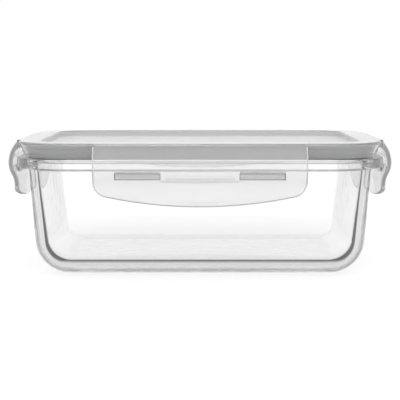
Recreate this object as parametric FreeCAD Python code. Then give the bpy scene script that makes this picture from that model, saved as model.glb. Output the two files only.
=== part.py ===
import FreeCAD, Part
import math
import os

os.makedirs("parts", exist_ok=True)

# Rectangular glass lunch box with a clear snap lid. All lengths in millimetres.
# Origin at the middle of the foot, Z up, X along the length, the front faces -Y.
# Every rounded-rectangle form is a section swept round the same four corner centres.
# A section is written as (r, z): r is the distance outwards from the corner centre line.

CORNER_X = 68.0
CORNER_Y = 42.0

# Lengths below NEAR count as nothing; cutting blocks run CUT_PAST beyond a face.
NEAR = 0.001
CUT_PAST = 1.0

# Glass dish
DISH_TOP = 62.1
OUTER_DRAFT = math.tan(math.radians(4.4))
INNER_DRAFT = math.tan(math.radians(7.2))
FLANGE_R = 28.7
FLANGE_BOTTOM = 56.6
FLANGE_TOP_ROUND = 1.0
FLANGE_LOW_ROUND = 1.0
WALL_OUT_R = 22.7
WALL_IN_R = 18.8
ROOT_ROUND = 1.2
MOUTH_ROUND = 1.0
FLOOR_TOP = 6.6
FOOT_ROUND = 18.5
FLOOR_ROUND = 12.2

# Lid
LID_TOP = 70.4
PANEL_TOP = 67.4
PANEL_BOTTOM = 65.4
RECESS_TOP_R = 16.0
RECESS_LOW_R = 15.2
RIM_R = 27.9
RIM_ROUND = 0.8
SKIRT_LOW_R = 24.7
SKIRT_LOW_IN_R = 23.0
SKIRT_TOP_IN_R = 25.8
SKIRT_BOTTOM = 62.35
CHANNEL_TOP = 69.6
PLUG_TOP_R = 18.3
PLUG_LOW_R = 18.0
PLUG_IN_R = 16.2
PLUG_BOTTOM = 59.3
SMALL_ROUND = 0.3
PLUG_ROUND = 0.6
PANEL_ROUND = 0.8

# Seal ring
SEAL_IN_R = 18.45
SEAL_TOP_OUT_R = 25.6
SEAL_LOW_OUT_R = 22.8
SEAL_BOTTOM = 62.3
SEAL_GROOVE_TOP = 63.6
SEAL_LIP = 1.0
SEAL_ROUND = 0.3

# Hinge: the axis lies on the upper edge of a straight shelf on the lid's rim.
AXIS_R = 29.3
WEB_THICK = 0.55
AXIS_Z = LID_TOP - WEB_THICK
SHELF_ROUND = 1.2
SHELF_UNDER = 69.25

# Flaps: an S-shaped plate that bulges over the flange and comes back in under it.
FLAP_TOP = 68.9
FLAP_THICK = 2.3
FLAP_IN_MIN_R = 29.5
BULGE_R = 34.3
BULGE_Z = 58.1
UPPER_ARC = 16.0
SWING_ARC = 11.8
TAB_OUT_R = 31.2
FLAP_TIP = 38.2
TOP_EDGE_ROUND = 0.4
LONG_FLAP_CORNER = 8.0
SHORT_FLAP_CORNER = 3.0
LONG_FLAP_HALF = 54.5
SHORT_FLAP_HALF = 38.0
LONG_TIP_ARC = 231.0
SHORT_TIP_ARC = 142.0

# Slots in each flap, closed behind by the catch ribs
SLOT_LOW = 52.3
SLOT_HIGH = 55.8
SLOT_CORNER = 0.6
LONG_SLOT = (20.3, 43.0)
SHORT_SLOT = (9.5, 26.5)
CATCH_TIP_R = 29.0
CATCH_TOP = 56.2
CATCH_TIP_LOW = 55.3
CATCH_SHOULDER_R = 30.6
CATCH_BACK_R = 31.8
CATCH_LOW_R = 31.0
CATCH_ROOT_R = 33.2
CATCH_ROOT_TOP = 58.5
CATCH_ROOT_MID = 56.7
CATCH_LOW = 51.6
CATCH_OVERHANG = 0.2

# Small ridges on each flap: one between the slots inside, one at the tip outside
RIDGE_Z = 53.6
RIDGE_HALF_HEIGHT = 0.5
RIDGE_IN_R = 30.55
RIDGE_OUT_R = 32.3
RIDGE_END_GAP = 2.9
GRIP_Z = 40.5
GRIP_HALF_HEIGHT = 0.45
GRIP_PROUD = 0.5
GRIP_HALF = 9.5


def section_point(r, z):
    """A point of a section, which is drawn in the XZ plane."""
    return FreeCAD.Vector(r, 0, z)


def rounded_edges(corners):
    """Edges of a closed polygon whose corners (r, z, radius) are rounded off."""
    starts = []
    middles = []
    ends = []
    count = len(corners)
    for i in range(count):
        here = section_point(corners[i][0], corners[i][1])
        before = section_point(corners[i - 1][0], corners[i - 1][1])
        after = section_point(corners[(i + 1) % count][0], corners[(i + 1) % count][1])
        radius = corners[i][2]
        back = (before - here).normalize()
        on = (after - here).normalize()
        half = back.getAngle(on) / 2.0
        if radius <= 0:
            starts.append(here)
            middles.append(None)
            ends.append(here)
            continue
        reach = radius / math.tan(half)
        bisector = (back + on).normalize()
        starts.append(here + back * reach)
        middles.append(here + bisector * (radius / math.sin(half) - radius))
        ends.append(here + on * reach)
    edges = []
    for i in range(count):
        if middles[i] is not None:
            edges.append(Part.Arc(starts[i], middles[i], ends[i]).toShape())
        following = starts[(i + 1) % count]
        if (following - ends[i]).Length > NEAR:
            edges.append(Part.makeLine(ends[i], following))
    return edges


def section_face(corners):
    """A flat section from a list of rounded corners."""
    return Part.Face(Part.Wire(rounded_edges(corners)))


def placed(shape, turn_deg, x, y):
    """A copy of the shape turned about Z and then moved to x, y."""
    copy = shape.copy()
    copy.rotate(FreeCAD.Vector(0, 0, 0), FreeCAD.Vector(0, 0, 1), turn_deg)
    copy.translate(FreeCAD.Vector(x, y, 0))
    return copy


def swept_round(face, centre_x, centre_y):
    """Sweep a section round a rounded rectangle: four straight runs, four corners."""
    up = FreeCAD.Vector(0, 0, 1)
    pieces = []
    quarter = face.revolve(FreeCAD.Vector(0, 0, 0), up, 90)
    long_run = face.extrude(FreeCAD.Vector(0, 2 * centre_x, 0))
    short_run = face.extrude(FreeCAD.Vector(0, 2 * centre_y, 0))
    pieces.append(placed(short_run, 0, centre_x, -centre_y))
    pieces.append(placed(quarter, 0, centre_x, centre_y))
    pieces.append(placed(long_run, 90, centre_x, centre_y))
    pieces.append(placed(quarter, 90, -centre_x, centre_y))
    pieces.append(placed(short_run, 180, -centre_x, centre_y))
    pieces.append(placed(quarter, 180, -centre_x, -centre_y))
    pieces.append(placed(long_run, 270, -centre_x, -centre_y))
    pieces.append(placed(quarter, 270, centre_x, -centre_y))
    return pieces


def core_block(centre_x, centre_y, low, high):
    """The block between the four corner centres, from low to high."""
    corner = FreeCAD.Vector(-centre_x, -centre_y, low)
    return Part.makeBox(2 * centre_x, 2 * centre_y, high - low, corner)


def joined(pieces):
    """One clean solid from touching pieces."""
    return pieces[0].multiFuse(pieces[1:]).removeSplitter()


def make_dish():
    """Pressed glass dish: drafted walls, rim flange, thick floor, flat foot."""
    foot_r = WALL_OUT_R - FLANGE_BOTTOM * OUTER_DRAFT
    floor_r = WALL_IN_R - (DISH_TOP - FLOOR_TOP) * INNER_DRAFT
    face = section_face([
        (0, 0, 0),
        (foot_r, 0, FOOT_ROUND),
        (WALL_OUT_R, FLANGE_BOTTOM, ROOT_ROUND),
        (FLANGE_R, FLANGE_BOTTOM, FLANGE_LOW_ROUND),
        (FLANGE_R, DISH_TOP, FLANGE_TOP_ROUND),
        (WALL_IN_R, DISH_TOP, MOUTH_ROUND),
        (floor_r, FLOOR_TOP, FLOOR_ROUND),
        (0, FLOOR_TOP, 0),
    ])
    pieces = swept_round(face, CORNER_X, CORNER_Y)
    pieces.append(core_block(CORNER_X, CORNER_Y, 0, FLOOR_TOP))
    return joined(pieces)


def make_shelf(half_width):
    """Straight strip on the rim that carries one hinge, drawn on the +X side."""
    depth = AXIS_R - SKIRT_TOP_IN_R
    corner = FreeCAD.Vector(SKIRT_TOP_IN_R, -half_width, SHELF_UNDER)
    shelf = Part.makeBox(depth, 2 * half_width, LID_TOP - SHELF_UNDER, corner)
    ends = []
    for edge in shelf.Edges:
        box = edge.BoundBox
        if box.YLength < NEAR and box.XMin > AXIS_R - NEAR:
            ends.append(edge)
    return shelf.makeFillet(SHELF_ROUND, ends)


def make_lid():
    """Clear lid: sunk panel, plug wall, seal channel, sloped skirt, hinge shelves."""
    face = section_face([
        (0, PANEL_TOP, 0),
        (RECESS_LOW_R, PANEL_TOP, PANEL_ROUND),
        (RECESS_TOP_R, LID_TOP, PANEL_ROUND),
        (RIM_R, LID_TOP, RIM_ROUND),
        (SKIRT_LOW_R, SKIRT_BOTTOM, SMALL_ROUND),
        (SKIRT_LOW_IN_R, SKIRT_BOTTOM, SMALL_ROUND),
        (SKIRT_TOP_IN_R, CHANNEL_TOP, 0),
        (PLUG_TOP_R, CHANNEL_TOP, 0),
        (PLUG_LOW_R, PLUG_BOTTOM, PLUG_ROUND),
        (PLUG_IN_R, PLUG_BOTTOM, PLUG_ROUND),
        (PLUG_IN_R, PANEL_BOTTOM, PANEL_ROUND),
        (0, PANEL_BOTTOM, 0),
    ])
    pieces = swept_round(face, CORNER_X, CORNER_Y)
    pieces.append(core_block(CORNER_X, CORNER_Y, PANEL_BOTTOM, PANEL_TOP))
    for side in SIDES:
        pieces.append(on_side(make_shelf(side_half(side)), side))
    return joined(pieces)


def make_seal():
    """Soft ring in the lid's channel, with two lips that meet the glass."""
    middle_r = (SEAL_IN_R + SEAL_LOW_OUT_R) / 2.0
    face = section_face([
        (SEAL_IN_R, CHANNEL_TOP, SEAL_ROUND),
        (SEAL_TOP_OUT_R, CHANNEL_TOP, SEAL_ROUND),
        (SEAL_LOW_OUT_R, SEAL_BOTTOM, SEAL_ROUND),
        (SEAL_LOW_OUT_R - SEAL_LIP, SEAL_BOTTOM, SEAL_ROUND),
        (middle_r, SEAL_GROOVE_TOP, SEAL_ROUND),
        (SEAL_IN_R + SEAL_LIP, SEAL_BOTTOM, SEAL_ROUND),
        (SEAL_IN_R, SEAL_BOTTOM, SEAL_ROUND),
    ])
    return joined(swept_round(face, CORNER_X, CORNER_Y))


# Each side: turn about Z and distance of the corner centre line from the middle.
SIDES = {
    "right": (0, CORNER_X),
    "back": (90, CORNER_Y),
    "left": (180, CORNER_X),
    "front": (270, CORNER_Y),
}


def on_side(shape, side):
    """Carry a shape drawn on the +X side, in section lengths, to its own side."""
    turn, distance = SIDES[side]
    copy = shape.copy()
    copy.translate(FreeCAD.Vector(distance, 0, 0))
    copy.rotate(FreeCAD.Vector(0, 0, 0), FreeCAD.Vector(0, 0, 1), turn)
    return copy


def is_long(side):
    """True for the two long sides of the box."""
    return side in ("front", "back")


def side_half(side):
    """Half the width of the flap on this side."""
    return LONG_FLAP_HALF if is_long(side) else SHORT_FLAP_HALF


def strip(face, low, high):
    """Run a section along Y from low to high."""
    run = face.extrude(FreeCAD.Vector(0, high - low, 0))
    run.translate(FreeCAD.Vector(0, low, 0))
    return run


def make_web(half_width):
    """Thin bendable strip from the lid's upper edge down to the flap."""
    top = section_point(AXIS_R, LID_TOP)
    bend = WEB_THICK * math.sqrt(0.5)
    middle = section_point(AXIS_R + bend, AXIS_Z + bend)
    side = section_point(AXIS_R + WEB_THICK, AXIS_Z)
    low_out = section_point(AXIS_R + WEB_THICK, FLAP_TOP)
    low_in = section_point(AXIS_R, FLAP_TOP)
    edges = [
        Part.Arc(top, middle, side).toShape(),
        Part.makeLine(side, low_out),
        Part.makeLine(low_out, low_in),
        Part.makeLine(low_in, top),
    ]
    face = Part.Face(Part.Wire(edges))
    end = half_width - SHELF_ROUND
    return strip(face, -end, end)


def flap_lines():
    """Named points of the S-shaped section, on its outer and inner faces."""
    swing = 2 * math.atan((BULGE_R - TAB_OUT_R) / tab_drop())
    up_centre = BULGE_R - UPPER_ARC
    mid_centre = BULGE_R - SWING_ARC
    low_centre = TAB_OUT_R + SWING_ARC
    tab_z = BULGE_Z - tab_drop()
    inner_up = UPPER_ARC - FLAP_THICK
    inner_mid = SWING_ARC - FLAP_THICK
    inner_low = SWING_ARC + FLAP_THICK

    def on_arc(centre_r, centre_z, radius, angle):
        r = centre_r + radius * math.cos(angle)
        return section_point(r, centre_z + radius * math.sin(angle))

    top_rise = FLAP_TOP - BULGE_Z
    outer_top = math.asin((top_rise - TOP_EDGE_ROUND) / UPPER_ARC)
    inner_top = math.acos((FLAP_IN_MIN_R - up_centre) / inner_up)
    return {
        "outer_top": on_arc(up_centre, BULGE_Z, UPPER_ARC, outer_top),
        "outer_up": on_arc(up_centre, BULGE_Z, UPPER_ARC, outer_top / 2),
        "outer_bulge": section_point(BULGE_R, BULGE_Z),
        "outer_mid": on_arc(mid_centre, BULGE_Z, SWING_ARC, -swing / 2),
        "outer_turn": on_arc(mid_centre, BULGE_Z, SWING_ARC, -swing),
        "outer_low": on_arc(low_centre, tab_z, SWING_ARC, math.pi - swing / 2),
        "outer_tab": section_point(TAB_OUT_R, tab_z),
        "inner_top": on_arc(up_centre, BULGE_Z, inner_up, inner_top),
        "inner_up": on_arc(up_centre, BULGE_Z, inner_up, inner_top / 2),
        "inner_bulge": section_point(BULGE_R - FLAP_THICK, BULGE_Z),
        "inner_mid": on_arc(mid_centre, BULGE_Z, inner_mid, -swing / 2),
        "inner_turn": on_arc(mid_centre, BULGE_Z, inner_mid, -swing),
        "inner_low": on_arc(low_centre, tab_z, inner_low, math.pi - swing / 2),
        "inner_tab": section_point(TAB_OUT_R - FLAP_THICK, tab_z),
    }


def tab_drop():
    """Height from the bulge down to the straight tab, from two equal arcs."""
    inset = BULGE_R - TAB_OUT_R
    return math.sqrt(inset * (4 * SWING_ARC - inset))


def flap_section():
    """Closed section of the flap plate."""
    p = flap_lines()
    tip_out = section_point(TAB_OUT_R, FLAP_TIP)
    tip_in = section_point(TAB_OUT_R - FLAP_THICK, FLAP_TIP)
    top_in = section_point(FLAP_IN_MIN_R, FLAP_TOP)
    top_out = section_point(p["outer_top"].x - TOP_EDGE_ROUND, FLAP_TOP)
    round_in = TOP_EDGE_ROUND * (1 - math.sqrt(0.5))
    top_bend = section_point(p["outer_top"].x - round_in, FLAP_TOP - round_in)
    edges = [
        Part.makeLine(top_in, top_out),
        Part.Arc(top_out, top_bend, p["outer_top"]).toShape(),
        Part.Arc(p["outer_top"], p["outer_up"], p["outer_bulge"]).toShape(),
        Part.Arc(p["outer_bulge"], p["outer_mid"], p["outer_turn"]).toShape(),
        Part.Arc(p["outer_turn"], p["outer_low"], p["outer_tab"]).toShape(),
        Part.makeLine(p["outer_tab"], tip_out),
        Part.makeLine(tip_out, tip_in),
        Part.makeLine(tip_in, p["inner_tab"]),
        Part.Arc(p["inner_tab"], p["inner_low"], p["inner_turn"]).toShape(),
        Part.Arc(p["inner_turn"], p["inner_mid"], p["inner_bulge"]).toShape(),
        Part.Arc(p["inner_bulge"], p["inner_up"], p["inner_top"]).toShape(),
        Part.makeLine(p["inner_top"], top_in),
    ]
    return Part.Face(Part.Wire(edges))


def flap_outline(half_width, tip_arc, corner):
    """Block with the flap's front outline: round lower corners, bowed lower edge."""
    arc_centre_z = FLAP_TIP + tip_arc
    corner_y = half_width - corner
    rise = math.sqrt((tip_arc - corner) ** 2 - corner_y ** 2)
    corner_z = arc_centre_z - rise
    lean = math.atan2(corner_y, rise)
    join_y = corner_y + corner * math.sin(lean)
    join_z = corner_z - corner * math.cos(lean)
    bend = (math.pi / 2 + lean) / 2
    mid_y = corner_y + corner * math.sin(bend)
    mid_z = corner_z - corner * math.cos(bend)

    def at(y, z):
        return FreeCAD.Vector(0, y, z)

    edges = [
        Part.makeLine(at(-half_width, LID_TOP), at(-half_width, corner_z)),
        Part.Arc(at(-half_width, corner_z), at(-mid_y, mid_z), at(-join_y, join_z)).toShape(),
        Part.Arc(at(-join_y, join_z), at(0, FLAP_TIP), at(join_y, join_z)).toShape(),
        Part.Arc(at(join_y, join_z), at(mid_y, mid_z), at(half_width, corner_z)).toShape(),
        Part.makeLine(at(half_width, corner_z), at(half_width, LID_TOP)),
        Part.makeLine(at(half_width, LID_TOP), at(-half_width, LID_TOP)),
    ]
    return Part.Face(Part.Wire(edges)).extrude(FreeCAD.Vector(BULGE_R + CUT_PAST, 0, 0))


def slot_cutter(low, high):
    """Rounded block that cuts one slot from outside, down to the catch rib."""
    corner = FreeCAD.Vector(AXIS_R, low, SLOT_LOW)
    block = Part.makeBox(BULGE_R - AXIS_R + CUT_PAST, high - low, SLOT_HIGH - SLOT_LOW, corner)
    through = [e for e in block.Edges if e.BoundBox.YLength < NEAR and e.BoundBox.ZLength < NEAR]
    return block.makeFillet(SLOT_CORNER, through)


def catch_rib(low, high):
    """Rib behind one slot; its flat upper face goes under the glass flange."""
    face = section_face([
        (CATCH_TIP_R, CATCH_TIP_LOW, 0),
        (CATCH_TIP_R, CATCH_TOP, SMALL_ROUND),
        (CATCH_SHOULDER_R, CATCH_TOP, 0),
        (CATCH_ROOT_R, CATCH_ROOT_TOP, 0),
        (CATCH_ROOT_R, CATCH_ROOT_MID, 0),
        (CATCH_BACK_R, SLOT_HIGH, 0),
        (CATCH_BACK_R, CATCH_LOW, 0),
        (CATCH_LOW_R, CATCH_LOW, 0),
    ])
    return strip(face, low - CATCH_OVERHANG, high + CATCH_OVERHANG)


def bar(low_r, high_r, half_length, z, half_height):
    """Small straight ridge across a flap."""
    corner = FreeCAD.Vector(low_r, -half_length, z - half_height)
    return Part.makeBox(high_r - low_r, 2 * half_length, 2 * half_height, corner)


def make_flap(half_width, tip_arc, corner, slot):
    """One locking flap, drawn on the +X side."""
    plate = strip(flap_section(), -half_width, half_width)
    plate = plate.common(flap_outline(half_width, tip_arc, corner))
    spans = [(slot[0], slot[1]), (-slot[1], -slot[0])]
    for low, high in spans:
        plate = plate.cut(slot_cutter(low, high))
    extras = [catch_rib(low, high) for low, high in spans]
    ridge_half = slot[0] - RIDGE_END_GAP
    extras.append(bar(RIDGE_IN_R, RIDGE_OUT_R, ridge_half, RIDGE_Z, RIDGE_HALF_HEIGHT))
    grip_low_r = TAB_OUT_R - GRIP_PROUD
    grip_high_r = TAB_OUT_R + GRIP_PROUD
    extras.append(bar(grip_low_r, grip_high_r, GRIP_HALF, GRIP_Z, GRIP_HALF_HEIGHT))
    return plate.multiFuse(extras).removeSplitter()


def make_nodes():
    """Every node of the lunch box by name."""
    nodes = {"glass_dish": make_dish(), "lid_panel": make_lid(), "seal_ring": make_seal()}
    long_flap = make_flap(LONG_FLAP_HALF, LONG_TIP_ARC, LONG_FLAP_CORNER, LONG_SLOT)
    short_flap = make_flap(SHORT_FLAP_HALF, SHORT_TIP_ARC, SHORT_FLAP_CORNER, SHORT_SLOT)
    for side in SIDES:
        flap = long_flap if is_long(side) else short_flap
        nodes[side + "_flap"] = on_side(flap, side)
        nodes[side + "_hinge_web"] = on_side(make_web(side_half(side)), side)
    return nodes


for name, shape in make_nodes().items():
    shape.exportStep("parts/" + name + ".step")
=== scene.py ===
import logging
import math
from collections.abc import Sequence
from dataclasses import dataclass
from enum import Enum
from typing import Any

import bmesh
import bpy
from bpy.types import Material, Node, NodeSocket, NodeTree, Object
from mathutils import Matrix, Vector


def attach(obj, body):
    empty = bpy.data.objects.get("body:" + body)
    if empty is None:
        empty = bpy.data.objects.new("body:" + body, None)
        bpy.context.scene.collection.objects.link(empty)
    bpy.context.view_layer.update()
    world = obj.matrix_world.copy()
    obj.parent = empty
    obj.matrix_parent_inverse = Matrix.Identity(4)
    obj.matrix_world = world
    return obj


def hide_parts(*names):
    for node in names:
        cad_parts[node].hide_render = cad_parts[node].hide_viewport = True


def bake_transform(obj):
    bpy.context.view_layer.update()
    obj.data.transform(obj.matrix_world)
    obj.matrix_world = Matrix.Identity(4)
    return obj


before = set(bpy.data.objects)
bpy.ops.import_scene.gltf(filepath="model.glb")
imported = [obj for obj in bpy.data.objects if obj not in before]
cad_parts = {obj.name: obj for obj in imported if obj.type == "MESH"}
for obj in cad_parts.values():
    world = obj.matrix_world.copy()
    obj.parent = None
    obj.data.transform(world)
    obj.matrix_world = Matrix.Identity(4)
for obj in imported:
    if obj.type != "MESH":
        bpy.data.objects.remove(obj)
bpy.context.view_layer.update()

# Rectangular glass lunch box with a clear snap lid, a grey seal and four locking flaps.
# Sizes are in millimetres and become metres in point(). The front faces -Y, Z is up.
# A section is drawn as (r, z): r runs outwards from the line of the four corner centres.

Spot = tuple[float, float]
Place = tuple[float, float, float]
# A rounding: its radius in mm and the steps drawn round it.
Round = tuple[float, int]
Faces = list[tuple[int, ...]]

LOG = logging.getLogger("lunch_box")
MM = 0.001
CORNER_X = 68.0
CORNER_Y = 42.0
CORNER_STEPS = 28
QUARTER_TURN = math.pi / 2.0
SHARP_ANGLE = math.radians(38.0)
FLAT_WEIGHT = 90
MERGE_MM = 0.0005
SHARP: Round = (0.0, 1)
BLACK = (0.0, 0.0, 0.0, 1.0)
# Limits between whole numbers of bounces: at least one, two or four of them.
ONCE, TWICE, FOUR_TIMES = 0.5, 1.5, 3.5


@dataclass(frozen=True)
class FlapSize:
    """Half width, arc of the tip, corner rounding and slot ends of a flap in mm."""

    half_width: float
    tip_arc: float
    corner: float
    slot: Spot

    @property
    def corner_y(self) -> float:
        """Distance in mm from the middle to the centre of a corner's rounding."""
        return self.half_width - self.corner

    @property
    def rise(self) -> float:
        """Height in mm from the centre of a corner's rounding to the centre of the tip's arc."""
        return math.sqrt((self.tip_arc - self.corner) ** 2 - self.corner_y ** 2)


LONG_FLAP = FlapSize(54.5, 231.0, 8.0, (20.3, 43.0))
SHORT_FLAP = FlapSize(38.0, 142.0, 3.0, (9.5, 26.5))


class Side(Enum):
    """The four sides of the box, each with its turn about Z in quarter turns."""

    RIGHT = 0
    BACK = 1
    LEFT = 2
    FRONT = 3

    @property
    def label(self) -> str:
        """Name of the side as the frame's nodes and bodies spell it."""
        return self.name.lower()

    @property
    def is_long(self) -> bool:
        """True for the front and the back."""
        return self in (Side.FRONT, Side.BACK)

    @property
    def flap(self) -> FlapSize:
        """Size of the flap on this side."""
        return LONG_FLAP if self.is_long else SHORT_FLAP

    @property
    def reach(self) -> float:
        """Distance in mm from the middle to the corner centre line on this side."""
        return CORNER_Y if self.is_long else CORNER_X

    def place(self, r: float, along: float, z: float) -> Vector:
        """Point in metres that lies r mm outwards, along mm from the side's middle and z mm up."""
        return Matrix.Rotation(self.value * QUARTER_TURN, 3, "Z") @ point(self.reach + r, along, z)


class RayKind(Enum):
    """Outputs of the light path that the finishes and the studio tell apart."""

    CAMERA = "Is Camera Ray"
    GLOSSY = "Is Glossy Ray"
    TRANSMISSION = "Is Transmission Ray"
    SHADOW = "Is Shadow Ray"
    DIFFUSE_DEPTH = "Diffuse Depth"
    GLOSSY_DEPTH = "Glossy Depth"
    TRANSMISSION_DEPTH = "Transmission Depth"


class FlapFace(Enum):
    """Kinds of face on a flap; each value is the place of its finish on the mesh."""

    PLAIN = 0
    RIM = 1
    ROUNDED = 2
    SLOT_EDGE_PAINTED_SHADE = 3


def point(x: float, y: float, z: float) -> Vector:
    """A point given in mm, in metres."""
    return Vector((x * MM, y * MM, z * MM))


def linear(hex_colour: str) -> tuple[float, ...]:
    """Linear colour, with an alpha of 1, of an sRGB hex colour such as "#8c8c8c"."""
    shares = [int(hex_colour[i:i + 2], 16) / 255.0 for i in (1, 3, 5)]
    return *[c / 12.92 if c <= 0.04045 else ((c + 0.055) / 1.055) ** 2.4 for c in shares], 1.0


def add_node(tree: NodeTree, kind: str, feeds: dict[Any, Any] | None = None, **settings: Any) -> Node:
    """Add one shader node with its settings and links.

    Args:
        tree: Node tree that takes the node.
        kind: Kind of shader node.
        feeds: Input name or number to a plain value, or to what is linked to it: an output, a node
            for its first output in use, or a kind of ray for that output of the light path.
        settings: Properties of the node itself.

    Returns:
        The new node.
    """
    node = tree.nodes.new("ShaderNode" + kind)
    for key, value in settings.items():
        setattr(node, key, value)
    for key, value in (feeds or {}).items():
        if isinstance(value, RayKind):
            value = add_node(tree, "LightPath").outputs[value.value]
        if isinstance(value, Node):
            value = next(output for output in value.outputs if output.enabled)
        if isinstance(value, NodeSocket):
            tree.links.new(value, node.inputs[key])
        else:
            node.inputs[key].default_value = value
    return node


def new_material(name: str) -> tuple[Material, NodeTree, NodeSocket]:
    """Start a node material.

    Args:
        name: Name of the material.

    Returns:
        The material, its tree and the tree's output for the place on the object.
    """
    material = bpy.data.materials.new(name)
    material.use_nodes = True
    tree = material.node_tree
    tree.nodes.clear()
    return material, tree, add_node(tree, "TexCoord").outputs["Object"]


def clear_output(tree: NodeTree, surface: Node, shade_hex: str, absorbs_per_m: float) -> None:
    """End the tree of a clear material.

    Args:
        tree: Node tree to work in.
        surface: Shader of the clear surface.
        shade_hex: Tint of the lamp light that shines through.
        absorbs_per_m: Light that the body swallows, per metre.
    """
    # Lamps shine through a clear body, so it casts only a faint shadow.
    clear = add_node(tree, "BsdfTransparent", {"Color": linear(shade_hex)})
    either = add_node(tree, "MixShader", {0: RayKind.SHADOW, 1: surface, 2: clear})
    # A long way through the body, as seen edge on, reads as grey.
    depth = add_node(tree, "VolumeAbsorption", {"Color": BLACK, "Density": absorbs_per_m})
    add_node(tree, "OutputMaterial", {"Surface": either, "Volume": depth})


@dataclass(frozen=True)
class Corner:
    """Corner of a section in mm, with its rounding."""

    r: float
    z: float
    rounding: Round = SHARP


@dataclass(frozen=True)
class EdgePoint:
    """Point of a rounded section in mm, with the direction of the surface."""

    r: float
    z: float
    out_r: float
    out_z: float


@dataclass(frozen=True)
class Station:
    """Place in mm on the walk round the box where a section stands, and its share of shelf."""

    x: float
    y: float
    out_x: float
    out_y: float
    shelf: float = 0.0


def rounded_section(corners: list[Corner], closed: bool) -> list[EdgePoint]:
    """Round the corners of a section.

    Args:
        corners: Corners in order, anticlockwise if the directions are to look outwards; an open
            section keeps its first and last as they are.
        closed: True if the last corner runs on to the first.

    Returns:
        Points along the section with the directions of its surface.
    """
    spots = [Vector((c.r, c.z)) for c in corners]
    points: list[EdgePoint] = []
    for i, corner in enumerate(corners):
        here = spots[i]
        radius, steps = corner.rounding
        if not closed and i in (0, len(corners) - 1):
            run = (spots[1] - here if i == 0 else here - spots[i - 1]).normalized()
            points.append(EdgePoint(here.x, here.y, run.y, -run.x))
            continue
        run_in = (here - spots[i - 1]).normalized()
        run_out = (spots[(i + 1) % len(spots)] - here).normalized()
        turn = math.atan2(run_in.cross(run_out), run_in.dot(run_out))
        hand = 1.0 if turn > 0 else -1.0
        start = here - run_in * radius * math.tan(abs(turn) / 2.0)
        centre = start + Vector((-run_in.y, run_in.x)) * radius * hand
        for k in range(steps + 1):
            run = Matrix.Rotation(turn * k / steps, 2) @ run_in
            right = Vector((run.y, -run.x))
            spot = centre + right * radius * hand
            points.append(EdgePoint(spot.x, spot.y, right.x, right.y))
    return points


def corner_walk() -> list[Station]:
    """Stations round the four corners, anticlockwise from the middle of the right side.

    Returns:
        The stations.
    """
    stations = []
    for quarter, (sign_x, sign_y) in enumerate(((1, 1), (-1, 1), (-1, -1), (1, -1))):
        for k in range(CORNER_STEPS + 1):
            angle = (quarter + k / CORNER_STEPS) * QUARTER_TURN
            stations.append(Station(sign_x * CORNER_X, sign_y * CORNER_Y, math.cos(angle), math.sin(angle)))
    return stations


def new_object(name: str, verts: Sequence[Any], faces: Faces, *finishes: Material) -> Object:
    """Put a mesh in the scene as an object.

    Args:
        name: Name of the object and its mesh.
        verts: Its points in metres.
        faces: Its faces as numbers of points.
        finishes: Its finishes.

    Returns:
        The object.
    """
    mesh = bpy.data.meshes.new(name)
    mesh.from_pydata(verts, [], faces)
    for finish in finishes:
        mesh.materials.append(finish)
    obj = bpy.data.objects.new(name, mesh)
    bpy.context.scene.collection.objects.link(obj)
    return obj


def sweep(name: str, section: list[EdgePoint], stations: list[Station], *finishes: Material,
          closed: bool = False, shelf: list[EdgePoint] | None = None) -> Object:
    """Sweep a section round the box.

    Args:
        name: Name of the object.
        section: Points of the section.
        stations: Places where the section stands.
        finishes: Finishes of the object.
        closed: True if the section's end meets its start; otherwise both ends get a flat cap.
        shelf: Points that the section moves to at a station with a full shelf.

    Returns:
        The object, which has its exact surface directions unless it has shelves.
    """
    verts = []
    outs = []
    for spot, far in zip(section, shelf or section):
        for s in stations:
            r = spot.r + (far.r - spot.r) * s.shelf
            z = spot.z + (far.z - spot.z) * s.shelf
            verts.append(point(s.x + r * s.out_x, s.y + r * s.out_y, z))
            outs.append(Vector((spot.out_r * s.out_x, spot.out_r * s.out_y, spot.out_z)))
    count, width = len(section), len(stations)
    faces: Faces = []
    for i in range(count if closed else count - 1):
        low, high = i * width, (i + 1) % count * width
        for k in range(width):
            on = (k + 1) % width
            faces.append((low + k, low + on, high + on, high + k))
    if not closed:
        faces += [tuple(reversed(range(width))), tuple(range((count - 1) * width, count * width))]
    obj = new_object(name, verts, faces, *finishes)
    obj.data.shade_smooth()
    if shelf is None:
        obj.data.normals_split_custom_set_from_vertices(outs)
    return obj


def tidy_mesh(obj: Object) -> None:
    """Merge points that lie on each other and turn all faces outwards.

    Args:
        obj: Object whose mesh is cleaned.
    """
    shape = bmesh.new()
    shape.from_mesh(obj.data)
    bmesh.ops.remove_doubles(shape, verts=shape.verts, dist=MERGE_MM * MM)
    bmesh.ops.recalc_face_normals(shape, faces=shape.faces)
    shape.to_mesh(obj.data)
    shape.free()


def bar(name: str, side: Side, outline: Sequence[Spot], low: float, high: float,
        *finishes: Material) -> Object:
    """A straight bar along a side of the box.

    Args:
        name: Name of the bar.
        side: Side that it runs along.
        outline: Corners of its section as (r, z) in mm.
        low: Where it starts along the side in mm.
        high: Where it ends in mm.
        finishes: Its finishes.

    Returns:
        The bar.
    """
    count = len(outline)
    verts = [side.place(r, y, z) for y in (low, high) for r, z in outline]
    faces: Faces = [tuple(range(count)), tuple(range(count, 2 * count))]
    faces += [(k, (k + 1) % count, (k + 1) % count + count, k + count) for k in range(count)]
    obj = new_object(name, verts, faces, *finishes)
    tidy_mesh(obj)
    return obj


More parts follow.
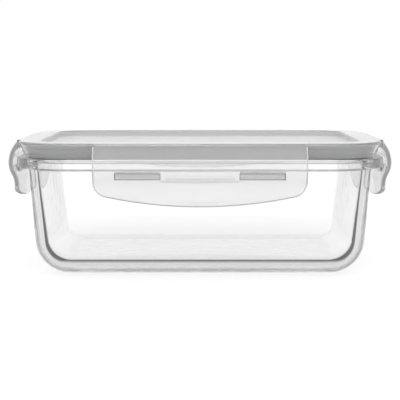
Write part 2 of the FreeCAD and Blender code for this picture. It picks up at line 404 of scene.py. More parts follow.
def bake(obj: Object, kind: str, **settings: Any) -> None:
    """Run one modifier on an object and keep the result as its mesh.

    Args:
        obj: Object to work on.
        kind: Kind of modifier.
        settings: Properties of the modifier.
    """
    modifier = obj.modifiers.new(kind, kind)
    for key, value in settings.items():
        setattr(modifier, key, value)
    before = obj.data
    depsgraph = bpy.context.evaluated_depsgraph_get()
    baked = bpy.data.meshes.new_from_object(obj.evaluated_get(depsgraph))
    obj.modifiers.clear()
    obj.data = baked
    bpy.data.meshes.remove(before)


def soften(obj: Object) -> None:
    """Shade smooth between sharp edges, with flats that stay flat.

    Args:
        obj: Object whose mesh is final.
    """
    obj.data.shade_smooth()
    obj.data.set_sharp_from_angle(angle=SHARP_ANGLE)
    bake(obj, "WEIGHTED_NORMAL", keep_sharp=True, weight=FLAT_WEIGHT)


@dataclass(frozen=True)
class PressedGlass:
    """Soda-lime glass pressed in an iron mould and fire polished: bright, with dark edges."""

    name: str = "soda_lime_glass_pressed"
    body_hex: str = "#fefefe"
    shade_hex: str = "#fdfdfd"
    ior: float = 1.5
    roughness: float = 0.0
    wave_mm: float = 26.0
    wave_depth_mm: float = 0.02
    wave_detail: float = 1.0
    stipple_mm: float = 1.6
    stipple_depth_mm: float = 0.05
    stipple_top_mm: float = 1.4
    absorbs_per_m: float = 0.35

    def material(self) -> Material:
        """Build the glass: clear, slowly waved, with a stippled foot.

        Returns:
            The material.
        """
        material, tree, place = new_material(self.name)
        # Pressing leaves slow waves in the skin, which bend what is seen through it a little.
        waves = add_node(tree, "TexNoise", {
            "Vector": place, "Scale": 1.0 / (self.wave_mm * MM), "Detail": self.wave_detail})
        skin = add_node(tree, "Bump", {"Height": waves, "Distance": self.wave_depth_mm * MM})
        # The foot is stippled in the mould, so it glitters instead of showing the table.
        height = add_node(tree, "SeparateXYZ", {"Vector": place}).outputs["Z"]
        low_down = add_node(tree, "MapRange", {
            "Value": height, "From Min": self.stipple_top_mm * MM, "From Max": 0.0})
        grains = add_node(tree, "TexVoronoi", {"Vector": place, "Scale": 1.0 / (self.stipple_mm * MM)})
        stipple = add_node(tree, "Bump", {
            "Height": grains, "Strength": low_down, "Distance": self.stipple_depth_mm * MM, "Normal": skin})
        glass = add_node(tree, "BsdfPrincipled", {
            "Base Color": linear(self.body_hex), "Roughness": self.roughness, "IOR": self.ior,
            "Transmission Weight": 1.0, "Normal": stipple})
        clear_output(tree, glass, self.shade_hex, self.absorbs_per_m)
        return material


@dataclass(frozen=True)
class ClearPlastic:
    """Clear polypropylene, injection moulded against a polished tool: glossy with a milky haze."""

    name: str = "clear_polypropylene_moulded"
    body_hex: str = "#fafafa"
    shade_hex: str = "#fbfbfb"
    ior: float = 1.49
    rough_low: float = 0.03
    rough_high: float = 0.1
    haze: float = 0.16
    flow_mm: float = 9.0
    flow_depth_mm: float = 0.006
    flow_detail: float = 2.0
    flow_low: float = 0.3
    flow_high: float = 0.7
    absorbs_per_m: float = 11.0

    def material(self) -> Material:
        """Build the plastic: clear with a milky haze, and flow marks from the moulding.

        Returns:
            The material.
        """
        material, tree, place = new_material(self.name)
        # The melt cools unevenly, so the skin carries shallow flow marks.
        flow = add_node(tree, "TexNoise", {
            "Vector": place, "Scale": 1.0 / (self.flow_mm * MM), "Detail": self.flow_detail})
        bump = add_node(tree, "Bump", {"Height": flow, "Distance": self.flow_depth_mm * MM})
        # Wiping and washing dull the gloss in patches.
        gloss = add_node(tree, "MapRange", {
            "Value": flow, "From Min": self.flow_low, "From Max": self.flow_high,
            "To Min": self.rough_low, "To Max": self.rough_high})
        plastic = add_node(tree, "BsdfPrincipled", {
            "Base Color": linear(self.body_hex), "Roughness": gloss, "IOR": self.ior,
            "Transmission Weight": 1.0 - self.haze, "Normal": bump})
        clear_output(tree, plastic, self.shade_hex, self.absorbs_per_m)
        return material


# The tool face of the sunk panel is blasted, so the panel veils what lies below in an even grey.
SATIN = ClearPlastic("clear_polypropylene_satin", haze=0.48, rough_low=0.3, rough_high=0.42)
# The edges of the flaps are left as they come from the tool, without polish.
DULL = {"rough_low": 0.4, "rough_high": 0.55}
# Painted shade: the unpolished rims get a light grey body, so the rim reads as a grey outline where the
# plate is seen edge on.
DULL_EDGE_PAINTED_SHADE = ClearPlastic("clear_polypropylene_dull_edge_painted_shade", "#e6e7e7", haze=0.45, **DULL)
# A rounded edge spreads the light, so it reads as a soft pale line.
ROUNDED_EDGE = ClearPlastic("clear_polypropylene_rounded_edge", "#f6f7f7", haze=0.75, **DULL)
# Painted shade: the narrow band round each slot gets a dark grey body, so it reads as a thin dark line
# where the broken edge turns light aside.
SLOT_EDGE_PAINTED_SHADE = ClearPlastic("clear_polypropylene_slot_edge_painted_shade", "#a4a5a5", haze=0.8, **DULL)


@dataclass(frozen=True)
class SoftSilicone:
    """Grey silicone rubber, compression moulded: matt and even, with a soft sheen at most."""

    name: str = "grey_silicone_moulded"
    light_hex: str = "#a6a7a8"
    dark_hex: str = "#9a9b9c"
    ior: float = 1.41
    roughness: float = 0.5
    grain_mm: float = 0.8
    grain_depth_mm: float = 0.03
    grain_detail: float = 2.0
    grain_strength: float = 0.6
    cloud_mm: float = 14.0
    cloud_detail: float = 3.0

    def material(self) -> Material:
        """Build the silicone: matt grey, faintly clouded, with a fine grain.

        Returns:
            The material.
        """
        material, tree, place = new_material(self.name)
        # The pigment is not mixed quite evenly.
        cloud = add_node(tree, "TexNoise", {
            "Vector": place, "Scale": 1.0 / (self.cloud_mm * MM), "Detail": self.cloud_detail})
        colour = add_node(tree, "Mix", {
            "Factor": cloud, "A": linear(self.dark_hex), "B": linear(self.light_hex)}, data_type="RGBA")
        # The real grain is finer than the picture can show, so it is drawn coarser here.
        grain = add_node(tree, "TexNoise", {
            "Vector": place, "Scale": 1.0 / (self.grain_mm * MM), "Detail": self.grain_detail})
        bump = add_node(tree, "Bump", {
            "Height": grain, "Strength": self.grain_strength, "Distance": self.grain_depth_mm * MM})
        rubber = add_node(tree, "BsdfPrincipled", {
            "Base Color": colour, "Roughness": self.roughness, "IOR": self.ior, "Normal": bump})
        add_node(tree, "OutputMaterial", {"Surface": rubber})
        return material


@dataclass
class GlassDish:
    """Pressed glass dish with a rim flange, drafted walls, a thick floor and a flat foot."""

    finish: PressedGlass
    top: float = 62.1
    draft: float = math.tan(math.radians(4.4))
    inner_draft: float = math.tan(math.radians(7.2))
    flange_r: float = 28.7
    flange_bottom: float = 56.6
    flange_round: Round = (1.0, 10)
    wall_out_r: float = 22.7
    wall_in_r: float = 18.8
    root_round: Round = (1.2, 8)
    mouth_round: Round = (1.0, 8)
    floor_top: float = 6.6
    foot_round: Round = (18.5, 24)
    floor_round: Round = (12.2, 20)
    middle_r: float = 0.6

    def section(self) -> list[EdgePoint]:
        """Section from the foot, up outside, over the flange and down to the floor.

        Returns:
            Points along the section.
        """
        foot_r = self.wall_out_r - self.flange_bottom * self.draft
        floor_r = self.wall_in_r - (self.top - self.floor_top) * self.inner_draft
        return rounded_section([
            Corner(self.middle_r, 0.0),
            Corner(foot_r, 0.0, self.foot_round),
            Corner(self.wall_out_r, self.flange_bottom, self.root_round),
            Corner(self.flange_r, self.flange_bottom, self.flange_round),
            Corner(self.flange_r, self.top, self.flange_round),
            Corner(self.wall_in_r, self.top, self.mouth_round),
            Corner(floor_r, self.floor_top, self.floor_round),
            Corner(self.middle_r, self.floor_top),
        ], closed=False)

    def build(self) -> Object:
        """Make the dish and let it stand for its solid.

        Returns:
            The dish.
        """
        dish = sweep("dish_pressed", self.section(), corner_walk(), self.finish.material())
        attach(dish, "dish")
        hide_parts("glass_dish")
        return dish


@dataclass
class SealRing:
    """Soft ring in the lid's channel, with two lips over the glass and a fine line outside."""

    finish: SoftSilicone
    in_r: float = 18.45
    top_out_r: float = 25.6
    low_out_r: float = 22.8
    top: float = 69.5
    bottom: float = 62.3
    groove_top: float = 63.6
    lip: float = 1.0
    line_z: float = 67.1
    line_half: float = 0.45
    line_deep: float = 0.4
    line_round: Round = (0.1, 4)
    edge_round: Round = (0.3, 4)

    def build(self) -> Object:
        """Make the ring and let it stand for its solid.

        Returns:
            The seal ring.
        """
        middle_r = (self.in_r + self.low_out_r) / 2.0
        lean = (self.top_out_r - self.low_out_r) / (self.top - self.bottom)
        line_r = self.low_out_r + lean * (self.line_z - self.bottom)
        edge, line = self.edge_round, self.line_round
        spots = [
            (self.in_r, self.bottom, edge),
            (self.in_r + self.lip, self.bottom, edge),
            (middle_r, self.groove_top, edge),
            (self.low_out_r - self.lip, self.bottom, edge),
            (self.low_out_r, self.bottom, edge),
            (line_r - lean * self.line_half, self.line_z - self.line_half, line),
            (line_r - self.line_deep, self.line_z, line),
            (line_r + lean * self.line_half, self.line_z + self.line_half, line),
            (self.top_out_r, self.top, edge),
            (self.in_r, self.top, edge),
        ]
        section = rounded_section([Corner(*spot) for spot in spots], closed=True)
        ring = sweep("seal_soft", section, corner_walk(), self.finish.material(), closed=True)
        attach(ring, "lid")
        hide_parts("seal_ring")
        return ring


@dataclass
class LidPanel:
    """Clear lid: sunk panel, plug wall, seal channel, sloped skirt and hinge shelves."""

    finish: Material
    satin: Material
    top: float = 70.4
    panel_top: float = 67.4
    panel_bottom: float = 65.4
    panel_round: Round = (0.8, 6)
    recess_top_r: float = 16.0
    recess_low_r: float = 15.2
    rim_r: float = 27.9
    rim_round: Round = (0.6, 8)
    rim_under: float = 69.25
    under_drop: float = 0.05
    skirt_low_r: float = 24.7
    skirt_low_in_r: float = 23.0
    skirt_top_in_r: float = 25.8
    skirt_bottom: float = 62.35
    channel_top: float = 69.6
    small_round: Round = (0.3, 4)
    plug_top_r: float = 18.3
    plug_low_r: float = 18.0
    plug_in_r: float = 16.2
    plug_bottom: float = 59.3
    plug_round: Round = (0.6, 5)
    shelf_r: float = 29.3
    shelf_round: float = 1.2
    shelf_edge: Round = (0.06, 8)
    shelf_start: float = 0.15
    shelf_steps: int = 5
    middle_r: float = 0.6

    def section(self, rim_r: float, rim_round: Round) -> list[EdgePoint]:
        """Section of the lid from the top of its panel, round the skirt, to its underside.

        Args:
            rim_r: Outward reach of the rim in mm.
            rim_round: Rounding of the rim's upper edge.

        Returns:
            Points along the section.
        """
        lean = (self.rim_r - self.skirt_low_r) / (self.top - self.skirt_bottom)
        slope_r = self.rim_r - lean * (self.top - self.rim_under)
        return rounded_section([
            Corner(self.middle_r, self.panel_top),
            Corner(self.recess_low_r, self.panel_top, self.panel_round),
            Corner(self.recess_top_r, self.top, self.panel_round),
            Corner(rim_r, self.top, rim_round),
            Corner(rim_r if rim_r > self.rim_r else slope_r, self.rim_under),
            Corner(slope_r - lean * self.under_drop, self.rim_under - self.under_drop),
            Corner(self.skirt_low_r, self.skirt_bottom, self.small_round),
            Corner(self.skirt_low_in_r, self.skirt_bottom, self.small_round),
            Corner(self.skirt_top_in_r, self.channel_top, self.small_round),
            Corner(self.plug_top_r, self.channel_top, self.small_round),
            Corner(self.plug_low_r, self.plug_bottom, self.plug_round),
            Corner(self.plug_in_r, self.plug_bottom, self.plug_round),
            Corner(self.plug_in_r, self.panel_bottom, self.panel_round),
            Corner(self.middle_r, self.panel_bottom),
        ], closed=False)

    def walk(self) -> list[Station]:
        """Stations round the lid, with the hinge shelves stepping out on each side.

        Returns:
            The stations.
        """
        corners = corner_walk()
        per_corner = CORNER_STEPS + 1
        stations: list[Station] = []
        for quarter, side in enumerate((Side.BACK, Side.LEFT, Side.FRONT, Side.RIGHT)):
            stations += corners[quarter * per_corner:(quarter + 1) * per_corner]
            half = side.flap.half_width
            steps = [(half, 0.0), (half, self.shelf_start)]
            for k in range(1, self.shelf_steps + 1):
                angle = QUARTER_TURN * k / self.shelf_steps
                steps.append((half - self.shelf_round * (1.0 - math.cos(angle)),
                              self.shelf_start + (1.0 - self.shelf_start) * math.sin(angle)))
            turn = Matrix.Rotation(side.value * QUARTER_TURN, 2)
            out = turn @ Vector((1.0, 0.0))
            for along, shelf in [(-along, shelf) for along, shelf in steps] + steps[::-1]:
                spot = turn @ Vector((side.reach, along))
                stations.append(Station(spot.x, spot.y, out.x, out.y, shelf))
        return stations

    def in_recess(self, spot: Vector) -> bool:
        """True for a point in mm on the sunk panel or its wall."""
        beside = abs(spot.x) < CORNER_X + self.recess_top_r and abs(spot.y) < CORNER_Y + self.recess_top_r
        return beside and self.panel_bottom < spot.z < self.top - self.small_round[0]

    def build(self) -> Object:
        """Make the lid and let it stand for its solid.

        Returns:
            The lid.
        """
        # The section runs clockwise, so the tidying below turns the faces outwards.
        lid = sweep("lid_moulded", self.section(self.rim_r, self.rim_round), self.walk(), self.finish,
                    self.satin, shelf=self.section(self.shelf_r, self.shelf_edge))
        for face in lid.data.polygons:
            sunk = all(self.in_recess(lid.data.vertices[k].co / MM) for k in face.vertices)
            # The satin finish is the second one on the mesh.
            face.material_index = int(sunk)
        tidy_mesh(lid)
        soften(lid)
        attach(lid, "lid")
        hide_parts("lid_panel")
        return lid


@dataclass
class LockingFlap:
    """S-shaped locking plate with two slots and the catch ribs behind them."""

    side: Side
    finishes: list[Material]
    top: float = 68.9
    thick: float = 2.3
    in_min_r: float = 29.5
    bulge_r: float = 34.3
    bulge_z: float = 58.1
    upper_arc: float = 16.0
    swing_arc: float = 11.8
    tab_out_r: float = 31.2
    tip: float = 38.2
    top_round: float = 0.4
    edge_round: float = 0.5
    thin_share: float = 0.42
    slot_low: float = 52.5
    slot_high: float = 55.3
    slot_edge_painted_shade: float = 0.35
    slot_chamfer: float = 0.15
    # Section of a catch rib as (r, z): its head, its web to the plate and its leg behind the slot.
    catch: tuple[Spot, ...] = ((29.0, 55.3), (29.0, 56.2), (31.0, 56.2), (33.2, 57.4), (33.2, 56.7),
                               (31.8, 55.9), (31.8, 51.6), (31.0, 51.6))
    overhang: float = 0.2
    ridge_gap: float = 2.9
    ridge_z: float = 53.6
    ridge_half_height: float = 0.9
    ridge_crest: float = 0.3
    ridge_proud: float = 0.2
    ridge_out_r: float = 32.3
    grip_z: float = 40.5
    grip_half_height: float = 0.45
    grip_proud: float = 0.5
    grip_half: float = 9.5
    bar_round: float = 0.15
    bar_steps: int = 2
    # Lines of the plate's grid: across to the slot, the slot, on to the corner, and round it.
    column_counts: tuple[int, int, int] = (8, 10, 2)
    corner_steps: int = 12
    round_steps: int = 4
    upper_row: float = 67.8
    row_step: float = 0.85
    upper_rows: int = 14
    slot_rows: Spot = (54.6, 53.5)
    lower_rows: int = 9
    even_above: float = 59.1
    end_zone: float = 1.6

    def face_r(self, z: float, depth: float) -> float:
        """Outward reach of the plate at a height.

        Args:
            z: Height in mm.
            depth: 0 for the outer face, the thickness for the inner face.

        Returns:
            The reach in mm.
        """
        inset = self.bulge_r - self.tab_out_r
        drop = math.sqrt(inset * (4.0 * self.swing_arc - inset))
        swing = 2.0 * math.atan(inset / drop)
        tab_z = self.bulge_z - drop
        if z >= self.bulge_z:
            radius = self.upper_arc - depth
            reach = self.bulge_r - self.upper_arc + math.sqrt(radius ** 2 - (z - self.bulge_z) ** 2)
            if depth > 0.0:
                return max(reach, self.in_min_r)
            round_z = self.top - self.top_round
            if z > round_z:
                start = self.face_r(round_z, 0.0)
                left = max(self.top_round ** 2 - (z - round_z) ** 2, 0.0)
                return start - self.top_round + math.sqrt(left)
            return reach
        mid = self.swing_arc - depth
        if z >= self.bulge_z - mid * math.sin(swing):
            return self.bulge_r - self.swing_arc + math.sqrt(mid ** 2 - (z - self.bulge_z) ** 2)
        low = self.swing_arc + depth
        if z > tab_z:
            return self.tab_out_r + self.swing_arc - math.sqrt(low ** 2 - (z - tab_z) ** 2)
        return self.tab_out_r - depth

    def low_z(self, along: float) -> float:
        """Height of the plate's lower outline.

        Args:
            along: Distance from the middle of the flap in mm.

        Returns:
            The height in mm.
        """
        size = self.side.flap
        arc_z = self.tip + size.tip_arc
        across = abs(along)
        if across <= size.corner_y + size.corner * math.sin(math.atan2(size.corner_y, size.rise)):
            return arc_z - math.sqrt(size.tip_arc ** 2 - across ** 2)
        return arc_z - size.rise - math.sqrt(max(size.corner ** 2 - (across - size.corner_y) ** 2, 0.0))

    def edge_gap(self, along: float, z: float) -> float:
        """Distance in mm from a place on the plate to its outline.

        Args:
            along: Distance from the middle of the flap in mm.
            z: Height in mm.

        Returns:
            The distance, 0 on the outline.
        """
        size = self.side.flap
        across = abs(along)
        below = self.tip + size.tip_arc - z
        gap = min(size.half_width - across, size.tip_arc - math.hypot(across, below))
        if across > size.corner_y and below > size.rise:
            gap = min(gap, size.corner - math.hypot(across - size.corner_y, below - size.rise))
        return max(gap, 0.0)

    def rounding(self, along: float, z: float) -> float:
        """Distance in mm by which the rounded edge draws in a face, at a place in mm across and up."""
        radius = min(self.edge_round, self.thin_share * (self.face_r(z, 0.0) - self.face_r(z, self.thick)))
        return radius - math.sqrt(radius ** 2 - max(radius - self.edge_gap(along, z), 0.0) ** 2)

    def by_slot(self, along: float, z: float, margin: float) -> bool:
        """True for a place, in mm across and up, in a slot or within a margin in mm round it."""
        start, end = self.side.flap.slot
        return (start - margin < abs(along) < end + margin
                and self.slot_low - margin < z < self.slot_high + margin)

    def columns(self) -> list[float]:
        """Places across the flap where the plate's grid has a line.

        Returns:
            Distances from the middle of the flap in mm.
        """
        size = self.side.flap
        start, end = size.slot
        stops = (0.0, start, end, size.corner_y)
        right = [*stops, start - self.slot_edge_painted_shade, end + self.slot_edge_painted_shade]
        for low, high, count in zip(stops, stops[1:], self.column_counts):
            right += [low + (high - low) * k / count for k in range(1, count)]
        right += [size.corner_y + size.corner * math.sin(QUARTER_TURN * k / self.corner_steps)
                  for k in range(1, self.corner_steps + 1)]
        right.sort()
        return [-y for y in reversed(right[1:])] + right

    def row_z(self, along: float) -> list[float]:
        """Heights of the grid's rows at a place across the flap, from the top down.

        Args:
            along: Distance from the middle of the flap in mm.

        Returns:
            Heights in mm.
        """
        turns = [QUARTER_TURN * k / self.round_steps for k in range(self.round_steps + 1)]
        rows = [self.top - self.top_round * (1.0 - math.cos(turn)) for turn in turns]
        rows += [self.upper_row - self.row_step * k for k in range(self.upper_rows)]
        rows += [self.slot_high + self.slot_edge_painted_shade, self.slot_high, *self.slot_rows]
        rows += [self.slot_low, self.slot_low - self.slot_edge_painted_shade]
        inner = self.side.flap.slot[1] + self.end_zone
        base = self.low_z(min(abs(along), inner))
        low = base + self.edge_round
        shares = [1.0 - k / self.lower_rows for k in range(1, self.lower_rows + 1)]
        rows += [low + (self.slot_low - low) * share for share in shares]
        rows += [base + self.edge_round * (1.0 - math.sin(turn)) for turn in turns[1:]]
        if abs(along) <= inner:
            return rows
        even = self.even_above
        share = (even - self.low_z(along)) / (even - base)
        return [z if z >= even else even - (even - z) * share for z in rows]

    def plate(self) -> Object:
        """The S-shaped plate with its slots cut through.

        Returns:
            The plate, with a finish for each kind of face.
        """
        columns = self.columns()
        heights = [self.row_z(y) for y in columns]
        rows = len(heights[0])
        verts: list[Vector] = []
        for depth, inward in ((0.0, -1.0), (self.thick, 1.0)):
            for y, column in zip(columns, heights):
                for z in column:
                    drawn = self.rounding(y, z)
                    if depth == 0.0 and self.by_slot(y, z, MERGE_MM):
                        drawn = self.slot_chamfer
                    verts.append(self.side.place(self.face_r(z, depth) + inward * drawn, y, z))
        inner = len(columns) * rows

        def cut(i: int, j: int) -> bool:
            """True if the grid cell in column i and row j lies in a slot or outside the plate."""
            outside = not (0 <= i < len(columns) - 1 and 0 <= j < rows - 1)
            return outside or self.by_slot(
                (columns[i] + columns[i + 1]) / 2.0, (heights[i][j] + heights[i][j + 1]) / 2.0, 0.0)

        faces: Faces = []
        kinds: list[FlapFace] = []
        for i in range(len(columns) - 1):
            for j in range(rows - 1):
                if cut(i, j):
                    continue
                a, b = i * rows + j, (i + 1) * rows + j
                c, d = b + 1, a + 1
                y = (columns[i] + columns[i + 1]) / 2.0
                z = (heights[i][j] + heights[i + 1][j] + heights[i][j + 1] + heights[i + 1][j + 1]) / 4.0
                back = FlapFace.ROUNDED if self.edge_gap(y, z) < self.edge_round else FlapFace.PLAIN
                # The outer face round each slot takes the dark grey painted shade of the slot edge.
                kinds += [FlapFace.SLOT_EDGE_PAINTED_SHADE if self.by_slot(y, z, self.slot_edge_painted_shade) else back, back]
                faces += [(a, d, c, b), (a + inner, b + inner, c + inner, d + inner)]
                # The rim faces round the outline and in the slots take the light grey painted shade.
                for p, q, beside, kind in (
                        (a, b, (i, j - 1), FlapFace.RIM), (b, c, (i + 1, j), FlapFace.RIM),
                        (c, d, (i, j + 1), FlapFace.ROUNDED), (d, a, (i - 1, j), FlapFace.RIM)):
                    if cut(*beside):
                        kinds.append(kind)
                        faces.append((p, q, q + inner, p + inner))
        plate = new_object(self.side.label + "_flap_moulded", verts, faces, *self.finishes)
        plate.data.polygons.foreach_set("material_index", [kind.value for kind in kinds])
        tidy_mesh(plate)
        return plate

    def ribs(self) -> list[Object]:
        """Catch ribs behind the slots, the ridge between them and the grip line at the tip.

        Returns:
            The bars with their edges rounded.
        """
        low, high = self.side.flap.slot
        half, crest = self.ridge_half_height, self.ridge_crest
        rises = ((-half, 0.0), (-crest, self.ridge_proud), (crest, self.ridge_proud), (half, 0.0))
        ridge = [(self.face_r(self.ridge_z + rise, self.thick) - proud, self.ridge_z + rise)
                 for rise, proud in rises]
        ridge = [(self.ridge_out_r, ridge[0][1]), *ridge, (self.ridge_out_r, ridge[-1][1])]
        grip = [(self.tab_out_r + r * self.grip_proud, self.grip_z + z * self.grip_half_height)
                for r, z in ((-1, -1), (1, -1), (1, 1), (-1, 1))]
        ridge_half = low - self.ridge_gap
        bars = []
        for outline, start, end in ((self.catch, low - self.overhang, high + self.overhang),
                                    (self.catch, -high - self.overhang, -low + self.overhang),
                                    (ridge, -ridge_half, ridge_half),
                                    (grip, -self.grip_half, self.grip_half)):
            bars.append(bar("bar", self.side, outline, start, end))
            bake(bars[-1], "BEVEL", width=self.bar_round * MM, segments=self.bar_steps,
                 limit_method="ANGLE", angle_limit=SHARP_ANGLE)
        return bars

    def build(self) -> Object:
        """Make the flap and let it stand for its solid.

        Returns:
            The flap.
        """
        flap = self.plate()
        # Plate and ribs are one moulding, so each rib melts into the plate.
        for rib in self.ribs():
            bake(flap, "BOOLEAN", operation="UNION", solver="EXACT", object=rib)
            spent = rib.data
            bpy.data.objects.remove(rib)
            bpy.data.meshes.remove(spent)
        soften(flap)
        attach(flap, "flap_" + self.side.label)
        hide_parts(self.side.label + "_flap")
        return flap


@dataclass
class HingeWeb:
    """Thin strip that bends between the lid's upper edge and a flap."""

    side: Side
    finish: Material
    inset: float = 1.2
    axis_r: float = 29.3
    top: float = 70.4
    thick: float = 0.55
    low: float = 68.9
    bend_steps: int = 8
    run_steps: int = 8
    blend_lead: float = 0.2
    blend_drop: float = 1.0

    def build(self) -> Object:
        """Make the strip and let it stand for its solid.

        Returns:
            The strip.
        """
        axis_z = self.top - self.thick
        angles = [QUARTER_TURN * (1.0 - k / self.bend_steps) for k in range(self.bend_steps + 1)]
        outline = [(self.axis_r + self.thick * math.cos(angle), axis_z + self.thick * math.sin(angle))
                   for angle in angles]
        drop = axis_z - self.low
        run = [axis_z - drop * k / self.run_steps for k in range(self.run_steps + 1)]
        outline += [(self.axis_r + self.thick, z) for z in run[1:]]
        outline += [(self.axis_r, z) for z in reversed(run)]
        half = self.side.flap.half_width - self.inset
        web = bar(self.side.label + "_hinge_strip", self.side, outline, -half, half, self.finish)
        soften(web)
        self.side.place(self.axis_r - self.blend_lead, 0.0, self.top)
        self.side.place(self.axis_r + self.thick, 0.0, axis_z - self.blend_drop)
        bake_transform(web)
        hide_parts(self.side.label + "_hinge_web")
        return web


@dataclass(frozen=True)
class SoftBox:
    """Square soft box: its name, its place and side in mm, and its power in watts."""

    name: str
    place_mm: Place
    size_mm: float
    watts: float


@dataclass
class Studio:
    """Camera, pale floor, soft sky and lamps round the box.

    Light that a clear wall has turned inside it meets painted shade on the floor and its own levels in the
    sky.
    They do the work of the dark cards that stand beside glass in a studio: they draw its edges.
    """

    camera_mm: Place = (0.0, -702.0, 109.8)
    target_mm: Place = (0.0, 0.0, 34.1)
    lens: float = 112.3
    sensor: float = 36.0
    clip_end: float = 100.0
    lamps: tuple[SoftBox, ...] = (SoftBox("overhead_box", (0.0, -100.0, 1100.0), 1200.0, 3.0),
                                  SoftBox("front_box", (0.0, -1500.0, 700.0), 1200.0, 6.0))
    bounces: int = 48
    floor_half: float = 40.0
    floor_gap_mm: float = 0.3
    floor_hex: str = "#a0a0a0"
    floor_glow: float = 0.72
    # Painted shade on the floor for turned light: its darkest level, the rest, and after more walls.
    painted_shade_dark: float = 0.1
    turned_down: float = 0.76
    later_down: float = 0.8
    # The darkest painted shade lies in front of this line, and of one that slants back outside both front
    # corners.
    painted_shade_front: float = -48.3
    painted_shade_slope: float = 0.571
    painted_shade_cross: float = 156.0
    painted_shade_soft: float = 2.0
    sky_level: float = 0.85
    horizon_hex: str = "#ffffff"
    zenith_hex: str = "#c0c0c0"
    climb_from: float = 0.2
    climb_to: float = 0.7
    # Levels of the sky for turned light: ahead and behind, to the sides, and after more walls.
    turned_up: float = 0.95
    turned_aside: float = 0.3
    later_up: float = 1.0
    lean_from: float = 0.5
    lean_to: float = 1.2
    lean_least: float = 0.05

    def stand(self, data: Any, place_mm: Place) -> Object:
        """Put a camera or a lamp in the scene and turn it to the middle of the box.

        Args:
            data: What the camera or the lamp is.
            place_mm: Where it stands in mm.

        Returns:
            The camera or lamp as an object.
        """
        obj = bpy.data.objects.new(data.name, data)
        bpy.context.scene.collection.objects.link(obj)
        obj.location = point(*place_mm)
        way = point(*self.target_mm) - obj.location
        obj.rotation_euler = way.to_track_quat("-Z", "Y").to_euler()
        return obj

    def camera(self) -> None:
        """Set up the camera at the photograph's angle."""
        data = bpy.data.cameras.new("camera")
        data.lens = self.lens
        data.sensor_width = self.sensor
        data.clip_end = self.clip_end
        bpy.context.scene.camera = self.stand(data, self.camera_mm)

    def turned_share(self, tree: NodeTree) -> Node:
        """Tell the rays that a clear wall has turned inside it.

        Args:
            tree: Node tree to work in.

        Returns:
            A node that is 1 for them and otherwise 0.
        """
        turned = add_node(tree, "Math", {0: RayKind.GLOSSY_DEPTH, 1: ONCE}, operation="GREATER_THAN")
        inside = add_node(tree, "Math", {0: RayKind.TRANSMISSION_DEPTH, 1: TWICE}, operation="GREATER_THAN")
        return add_node(tree, "Math", {0: turned, 1: inside}, operation="MULTIPLY")

    def turned_level(self, tree: NodeTree, first: Node, last: float) -> Node:
        """Level of the light: 1, or another one for rays that a clear wall has turned.

        Args:
            tree: Node tree to work in.
            first: Level of the rays that have left the glass for the first time.
            last: Level of the rays that went through more walls after that.

        Returns:
            The node with the level.
        """
        later = add_node(tree, "Math", {0: RayKind.TRANSMISSION_DEPTH, 1: FOUR_TIMES},
                         operation="GREATER_THAN")
        dim = add_node(tree, "Mix", {"Factor": later, "A": first, "B": last})
        return add_node(tree, "Mix", {"Factor": self.turned_share(tree), "A": 1.0, "B": dim})

    def floor(self) -> None:
        """Lay a pale floor that reads as white, keeps the shadow and carries painted shade for turned
        light.
        """
        half, z = self.floor_half, -self.floor_gap_mm * MM
        corners = [(-half, -half, z), (half, -half, z), (half, half, z), (-half, half, z)]
        material, tree, place = new_material("painted_board_matt")
        # Painted shade: for turned light the floor is darkest in front of the box and slantwise out to both
        # sides, and dimmed elsewhere.
        spot = add_node(tree, "SeparateXYZ", {"Vector": place})
        across = add_node(tree, "Math", {0: spot.outputs["X"]}, operation="ABSOLUTE")
        slant = add_node(tree, "Math", {
            0: across, 1: self.painted_shade_slope, 2: -self.painted_shade_slope * self.painted_shade_cross * MM},
            operation="MULTIPLY_ADD")
        edge = add_node(tree, "Math", {0: slant, 1: self.painted_shade_front * MM}, operation="MAXIMUM")
        behind = add_node(tree, "Math", {0: spot.outputs["Y"], 1: edge}, operation="SUBTRACT")
        painted_shade = add_node(tree, "MapRange", {
            "Value": behind, "From Min": -self.painted_shade_soft * MM, "From Max": self.painted_shade_soft * MM,
            "To Min": self.painted_shade_dark, "To Max": self.turned_down})
        level = self.turned_level(tree, painted_shade, self.later_down)
        # Matt paint carries the shadow, and a glow lifts the lit board to white for the eye.
        tone = add_node(tree, "Mix", {"Factor": level, "A": BLACK, "B": linear(self.floor_hex)},
                        data_type="RGBA")
        paint = add_node(tree, "BsdfDiffuse", {"Color": tone})
        through = add_node(tree, "Math", {0: RayKind.GLOSSY, 1: RayKind.TRANSMISSION}, operation="MAXIMUM")
        looks = add_node(tree, "Math", {0: RayKind.CAMERA, 1: through}, operation="MAXIMUM")
        glow = add_node(tree, "Math", {0: looks, 1: self.floor_glow}, operation="MULTIPLY")
        lit = add_node(tree, "Emission", {"Color": level, "Strength": glow})
        both = add_node(tree, "AddShader", {0: paint, 1: lit})
        add_node(tree, "OutputMaterial", {"Surface": both})
        new_object("floor", corners, [(0, 1, 2, 3)], material)

    def world(self) -> None:
        """White backdrop for the camera, and a soft sky that is darker overhead and to the sides."""
        world = bpy.data.worlds.new("studio")
        world.use_nodes = True
        tree = world.node_tree
        tree.nodes.clear()
        place = add_node(tree, "TexCoord").outputs["Generated"]
        aim = add_node(tree, "SeparateXYZ", {"Vector": place})
        # Gloss and glass see a sky that darkens overhead, unless their light has been turned.
        straight = add_node(tree, "Math", {0: 1.0, 1: self.turned_share(tree)}, operation="SUBTRACT")
        climb = add_node(tree, "MapRange", {
            "Value": aim.outputs["Z"], "From Min": self.climb_from, "From Max": self.climb_to,
            "To Max": straight})
        seen = add_node(tree, "Mix", {
            "Factor": climb, "A": linear(self.horizon_hex), "B": linear(self.zenith_hex)}, data_type="RGBA")
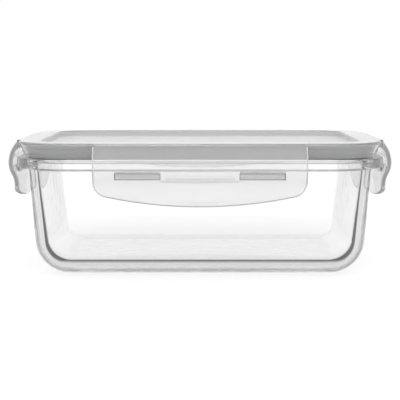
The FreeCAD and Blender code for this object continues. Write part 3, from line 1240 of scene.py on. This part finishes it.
        # The camera sees white, and matt surfaces get the plain level of the sky.
        plain = add_node(tree, "MapRange", {"Value": RayKind.CAMERA, "To Min": self.sky_level})
        through = add_node(tree, "Math", {0: RayKind.GLOSSY, 1: RayKind.TRANSMISSION}, operation="MAXIMUM")
        direct = add_node(tree, "Math", {0: RayKind.DIFFUSE_DEPTH, 1: ONCE}, operation="LESS_THAN")
        glassy = add_node(tree, "Math", {0: through, 1: direct}, operation="MULTIPLY")
        colour = add_node(tree, "Mix", {"Factor": glassy, "A": plain, "B": seen}, data_type="RGBA")
        # Turned light that leaves sideways meets the darker sides.
        across = add_node(tree, "Math", {0: aim.outputs["X"]}, operation="ABSOLUTE")
        along = add_node(tree, "Math", {0: aim.outputs["Y"]}, operation="ABSOLUTE")
        behind = add_node(tree, "Math", {0: along, 1: self.lean_least}, operation="ADD")
        lean = add_node(tree, "Math", {0: across, 1: behind}, operation="DIVIDE")
        aside = add_node(tree, "MapRange", {
            "Value": lean, "From Min": self.lean_from, "From Max": self.lean_to,
            "To Min": self.turned_up, "To Max": self.turned_aside}, interpolation_type="SMOOTHSTEP")
        level = self.turned_level(tree, aside, self.later_up)
        sky = add_node(tree, "Background", {"Color": colour, "Strength": level})
        add_node(tree, "OutputWorld", {"Surface": sky})
        bpy.context.scene.world = world

    def lamp(self, box: SoftBox) -> None:
        """Hang one soft box that clear and glossy surfaces don't show.

        Args:
            box: The soft box.
        """
        data = bpy.data.lights.new(box.name, "AREA")
        data.size = box.size_mm * MM
        data.energy = box.watts
        obj = self.stand(data, box.place_mm)
        obj.visible_transmission = False
        obj.visible_glossy = False

    def build(self) -> None:
        """Set up the whole studio."""
        self.camera()
        self.floor()
        self.world()
        for box in self.lamps:
            self.lamp(box)
        scene = bpy.context.scene
        scene.view_settings.view_transform = "Standard"
        # Light in clear walls is turned many times before it leaves them.
        for limit in ("max", "transmission", "glossy", "transparent_max"):
            setattr(scene.cycles, limit + "_bounces", self.bounces)


def main() -> None:
    """Build the lunch box piece by piece, then the studio."""
    logging.basicConfig(level=logging.INFO)
    plastic = ClearPlastic().material()
    # Flap finishes: plain, rims with grey painted shade, pale rounded edges, and slot edges with dark
    # painted shade.
    finishes = [plastic, DULL_EDGE_PAINTED_SHADE.material(), ROUNDED_EDGE.material(), SLOT_EDGE_PAINTED_SHADE.material()]
    pieces = [GlassDish(PressedGlass()), SealRing(SoftSilicone()), LidPanel(plastic, SATIN.material())]
    for side in Side:
        pieces += [LockingFlap(side, finishes), HingeWeb(side, plastic)]
    for piece in pieces:
        obj = piece.build()
        LOG.info("built %s with %d faces", obj.name, len(obj.data.polygons))
    Studio().build()


if __name__ == "__main__":
    main()
